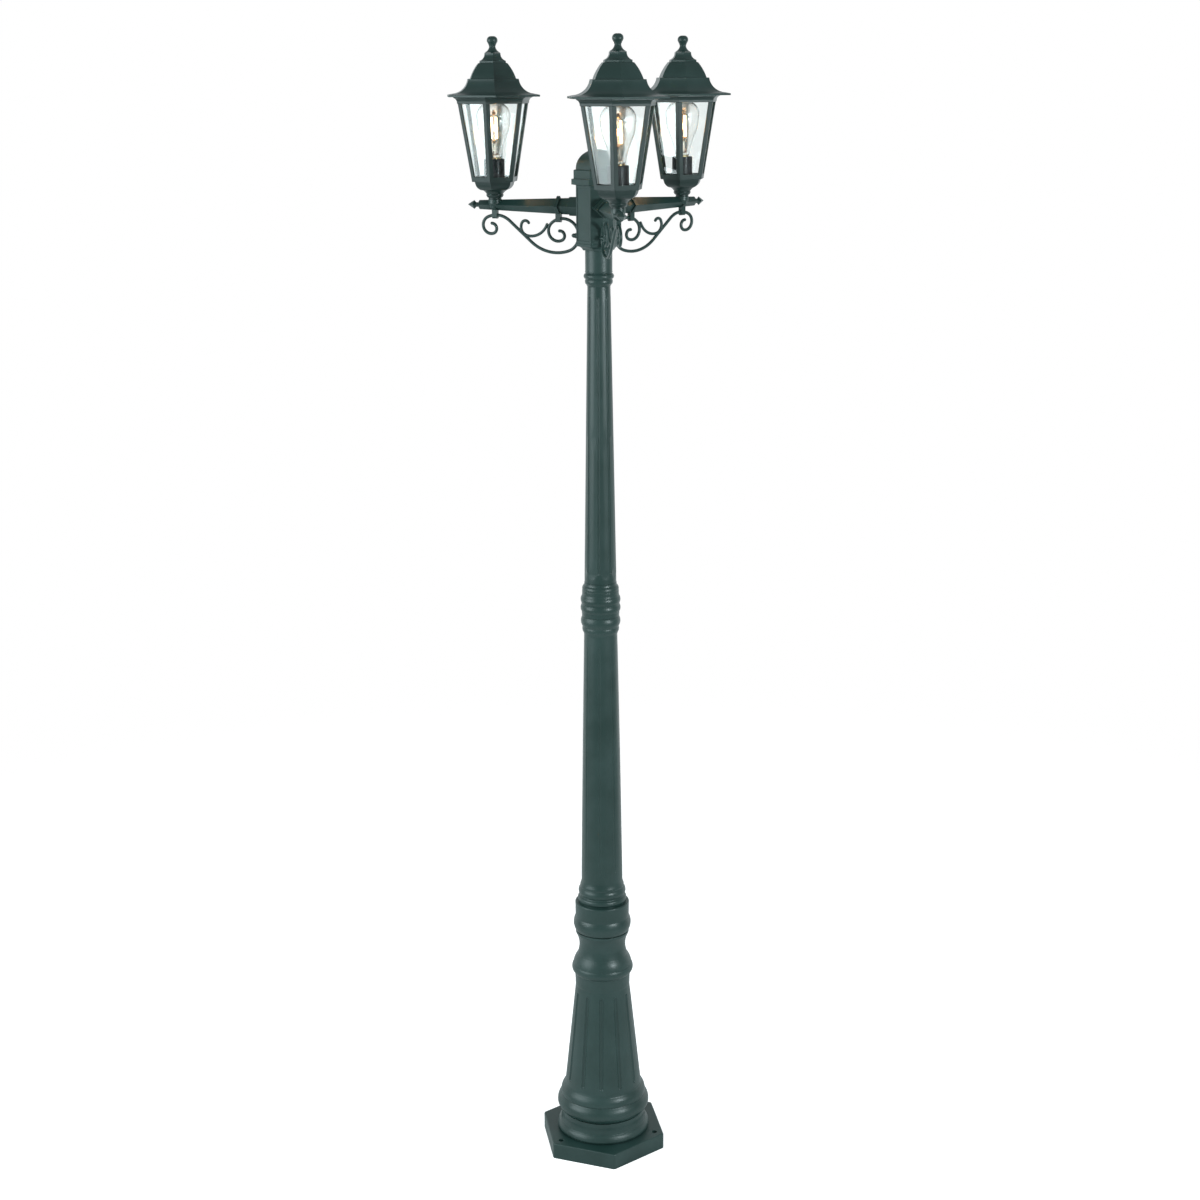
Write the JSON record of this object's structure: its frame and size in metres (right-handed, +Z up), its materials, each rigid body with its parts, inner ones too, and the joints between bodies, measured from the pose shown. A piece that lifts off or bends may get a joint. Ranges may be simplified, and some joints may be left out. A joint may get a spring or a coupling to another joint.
{
  "type": "lamp post",
  "caption": "Outdoor lamp post with hexagonal lanterns on scrolled arms round a fluted cast column, standing on a hexagonal foot plate.",
  "frame": {"origin": "on the column's axis, at the underside of the foot plate", "axes": "+Z up along the column; -Y along the front arm, to its lantern; +X to the right"},
  "size_m": [0.553, 0.5231, 2.3005],
  "materials": {
    "coated_casting": "dark green-grey powder coat, satin",
    "coated_steel": "dark green-grey powder coat, satin",
    "zinc_steel": "zinc plated",
    "terminal_plastic": "moulded",
    "lead_sheath": "smooth",
    "clear_glass": "clear",
    "holder_black": "moulded",
    "bulb_brass": "plated",
    "bulb_glass": "clear, warm",
    "filament": "lit"
  },
  "bodies": {
    "post": {"foot_plate": "coated_casting", "fluted_pedestal": "coated_casting", "locking_collar": "coated_casting", "lower_shaft": "coated_casting", "middle_collar": "coated_casting", "upper_shaft": "coated_casting", "top_collar": "coated_casting", "hub_body": "coated_casting", "hub_cap": "coated_casting", "hub_cap_screws": "coated_steel", "anchor_bar": "zinc_steel", "tie_rod": "zinc_steel", "tie_rod_nuts": "zinc_steel", "terminal_bracket": "zinc_steel", "terminal_block": "terminal_plastic", "arm_nuts": "zinc_steel", "arm_tips": "coated_casting", "arm_leads": "lead_sheath", "accent_scrolls": "coated_steel", "scroll_bolts": "coated_steel", "lantern_stems": "zinc_steel", "scroll_straps": "coated_steel", "front_arm": "coated_casting", "front_scroll": "coated_steel", "right_arm": "coated_casting", "right_scroll": "coated_steel", "left_arm": "coated_casting", "left_scroll": "coated_steel"},
    "front_lantern": {"front_cup": "coated_casting", "front_cage": "coated_casting", "front_panes": "clear_glass", "front_lampholder": "holder_black", "front_roof_bridge": "zinc_steel"},
    "front_lid": {"front_roof": "coated_casting"},
    "front_knob": {"front_finial": "coated_casting"},
    "front_bulb": {"front_bulb_cap": "bulb_brass", "front_bulb_glass": "bulb_glass", "front_filaments": "filament"},
    "right_lantern": {"right_cup": "coated_casting", "right_cage": "coated_casting", "right_panes": "clear_glass", "right_lampholder": "holder_black", "right_roof_bridge": "zinc_steel"},
    "right_lid": {"right_roof": "coated_casting"},
    "right_knob": {"right_finial": "coated_casting"},
    "right_bulb": {"right_bulb_cap": "bulb_brass", "right_bulb_glass": "bulb_glass", "right_filaments": "filament"},
    "left_lantern": {"left_cup": "coated_casting", "left_cage": "coated_casting", "left_panes": "clear_glass", "left_lampholder": "holder_black", "left_roof_bridge": "zinc_steel"},
    "left_lid": {"left_roof": "coated_casting"},
    "left_knob": {"left_finial": "coated_casting"},
    "left_bulb": {"left_bulb_cap": "bulb_brass", "left_bulb_glass": "bulb_glass", "left_filaments": "filament"}
  },
  "joints": [
    {"name": "front_lantern_turn", "type": "hinge", "parent": "post", "child": "front_lantern", "pos_m": [0, -0.215, 1.9945], "axis": [0, 0, 1], "range_deg": [-180, 180]},
    {"name": "front_roof_lift", "type": "slide", "parent": "front_lantern", "child": "front_lid", "axis": [0, 0, 1], "range_m": [0, 0.16]},
    {"name": "front_finial_turn", "type": "hinge", "parent": "front_lid", "child": "front_knob", "pos_m": [0, -0.215, 1.9945], "axis": [0, 0, 1], "continuous": true},
    {"name": "front_bulb_turn", "type": "hinge", "parent": "front_lantern", "child": "front_bulb", "pos_m": [0, -0.215, 1.9945], "axis": [0, 0, 1], "continuous": true},
    {"name": "right_lantern_turn", "type": "hinge", "parent": "post", "child": "right_lantern", "pos_m": [0.18619, 0.1075, 1.9945], "axis": [0, 0, 1], "range_deg": [-180, 180]},
    {"name": "right_roof_lift", "type": "slide", "parent": "right_lantern", "child": "right_lid", "axis": [0, 0, 1], "range_m": [0, 0.16]},
    {"name": "right_finial_turn", "type": "hinge", "parent": "right_lid", "child": "right_knob", "pos_m": [0.18619, 0.1075, 1.9945], "axis": [0, 0, 1], "continuous": true},
    {"name": "right_bulb_turn", "type": "hinge", "parent": "right_lantern", "child": "right_bulb", "pos_m": [0.18619, 0.1075, 1.9945], "axis": [0, 0, 1], "continuous": true},
    {"name": "left_lantern_turn", "type": "hinge", "parent": "post", "child": "left_lantern", "pos_m": [-0.18619, 0.1075, 1.9945], "axis": [0, 0, 1], "range_deg": [-180, 180]},
    {"name": "left_roof_lift", "type": "slide", "parent": "left_lantern", "child": "left_lid", "axis": [0, 0, 1], "range_m": [0, 0.16]},
    {"name": "left_finial_turn", "type": "hinge", "parent": "left_lid", "child": "left_knob", "pos_m": [-0.18619, 0.1075, 1.9945], "axis": [0, 0, 1], "continuous": true},
    {"name": "left_bulb_turn", "type": "hinge", "parent": "left_lantern", "child": "left_bulb", "pos_m": [-0.18619, 0.1075, 1.9945], "axis": [0, 0, 1], "continuous": true}
  ]
}
